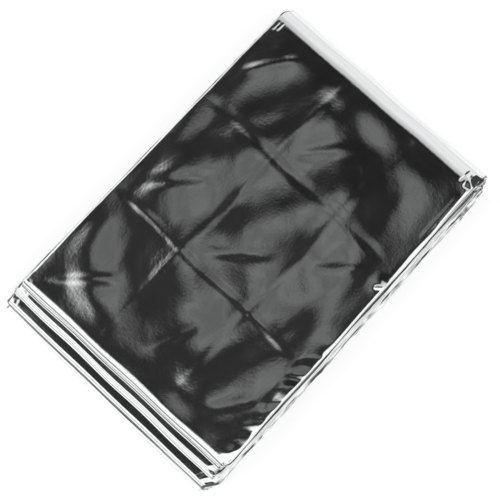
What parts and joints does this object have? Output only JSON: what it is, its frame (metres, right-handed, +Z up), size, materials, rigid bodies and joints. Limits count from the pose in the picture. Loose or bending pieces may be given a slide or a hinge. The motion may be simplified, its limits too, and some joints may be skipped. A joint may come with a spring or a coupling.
{
  "type": "folded emergency foil blanket",
  "caption": "Emergency blanket of thin silver metallised film, folded back and forth into a flat hand-sized pack with stepped fold edges at one end and a round roll-over at the other.",
  "frame": {"origin": "under the middle of the pack, on the surface that it lies on", "axes": "+X along the pack's longer side, from the stepped fold edges towards the round roll-over; +Y across the pack, from the side nearest the camera in the picture; +Z up through its layers"},
  "size_m": [0.1272, 0.0842, 0.0119],
  "materials": {
    "silver_film": "mirror-bright vacuum-metallised polyester film, finely creased and crinkled at its folds"
  },
  "bodies": {
    "root": {"foil_blanket": "silver_film"}
  },
  "joints": []
}
